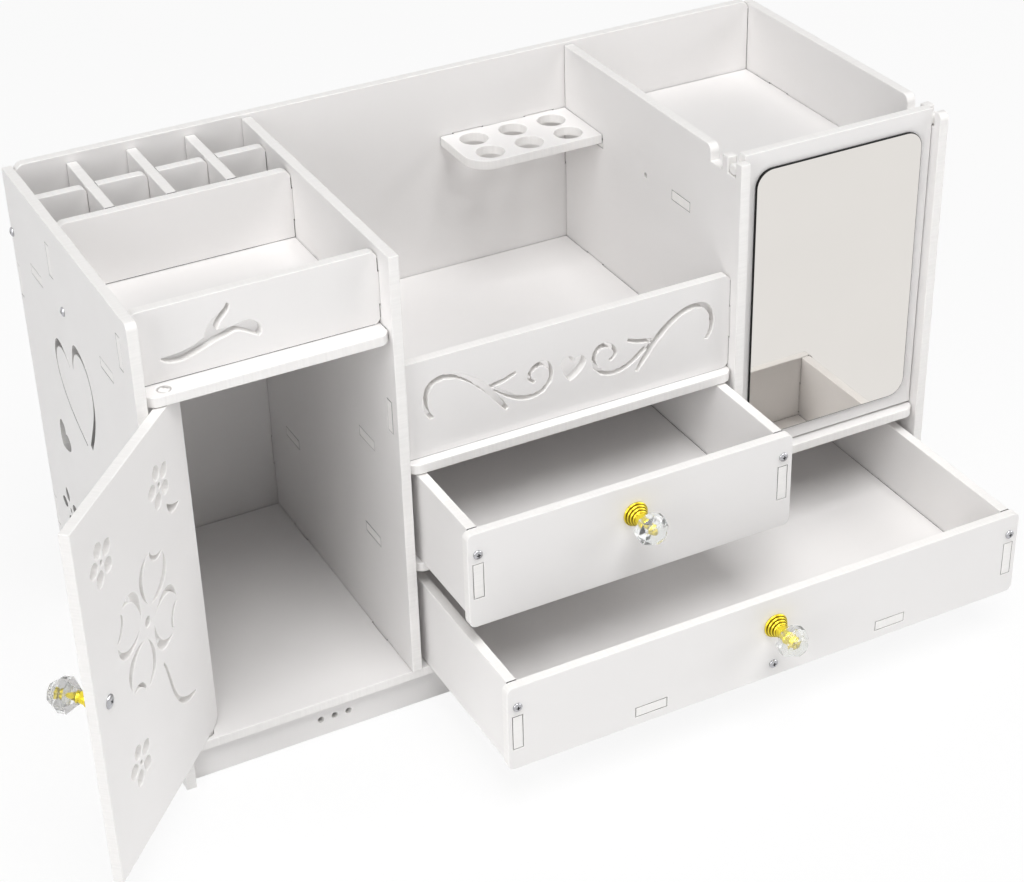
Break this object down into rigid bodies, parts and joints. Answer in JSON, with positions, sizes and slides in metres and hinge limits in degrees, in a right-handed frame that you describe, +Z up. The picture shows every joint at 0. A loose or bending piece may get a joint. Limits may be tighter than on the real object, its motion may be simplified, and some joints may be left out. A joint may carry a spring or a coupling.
{
  "type": "makeup organizer with mirror",
  "caption": "White flat-pack vanity box of slotted board with a hinged door, a hanging mirror flap, drawers, open trays, a cell grid, a lipstick rack and cut-out ornament.",
  "frame": {"origin": "middle of the front plinth's foot, on the ground", "axes": "+X to the right seen from the front, +Y to the back, +Z up"},
  "size_m": [0.5825, 0.3413, 0.302],
  "materials": {
    "white_board": "fine matt skin of foamed board with sawn edges",
    "gold_metal": "polished gold plating",
    "crystal": "clear faceted",
    "screw_steel": "bright nickel plating",
    "mirror_glass": "silvered acrylic with a plain edge"
  },
  "bodies": {
    "cabinet": {"left_side_panel": "white_board", "right_side_panel": "white_board", "left_divider": "white_board", "right_divider": "white_board", "back_panel": "white_board", "base_panel": "white_board", "front_plinth": "white_board", "long_shelf": "white_board", "middle_shelf": "white_board", "left_shelf": "white_board", "right_tray_floor": "white_board", "middle_front_panel": "white_board", "left_tray_front": "white_board", "grid_front_wall": "white_board", "grid_cross_rail": "white_board", "grid_partition_1": "white_board", "grid_partition_2": "white_board", "grid_partition_3": "white_board", "lipstick_rack": "white_board", "carcass_screws": "screw_steel"},
    "door": {"door_panel": "white_board", "door_knob_base": "gold_metal", "door_knob_crystal": "crystal", "door_knob_screw": "screw_steel"},
    "mirror_flap": {"mirror_panel": "white_board", "mirror_plate": "mirror_glass"},
    "upper_drawer": {"upper_drawer_front": "white_board", "upper_drawer_left_side": "white_board", "upper_drawer_right_side": "white_board", "upper_drawer_back": "white_board", "upper_drawer_floor": "white_board", "upper_drawer_screws": "screw_steel", "upper_drawer_knob_base": "gold_metal", "upper_drawer_knob_crystal": "crystal", "upper_drawer_knob_screw": "screw_steel"},
    "lower_drawer": {"lower_drawer_front": "white_board", "lower_drawer_left_side": "white_board", "lower_drawer_right_side": "white_board", "lower_drawer_back": "white_board", "lower_drawer_floor": "white_board", "lower_drawer_screws": "screw_steel", "lower_drawer_knob_base": "gold_metal", "lower_drawer_knob_crystal": "crystal", "lower_drawer_knob_screw": "screw_steel"}
  },
  "joints": [
    {"name": "door_hinge", "type": "hinge", "parent": "cabinet", "child": "door", "pos_m": [-0.2322, -0.0021, 0.13855], "axis": [0, 0, 1], "range_deg": [0, 132.5]},
    {"name": "mirror_flap_hinge", "type": "hinge", "parent": "cabinet", "child": "mirror_flap", "pos_m": [0.17915, 0, 0.29401], "axis": [-1, 0, 0], "range_deg": [0, 105]},
    {"name": "upper_drawer_slide", "type": "slide", "parent": "cabinet", "child": "upper_drawer", "axis": [0, -1, 0], "range_m": [-0.059, 0.093]},
    {"name": "lower_drawer_slide", "type": "slide", "parent": "cabinet", "child": "lower_drawer", "axis": [0, -1, 0], "range_m": [-0.106, 0.046]}
  ]
}
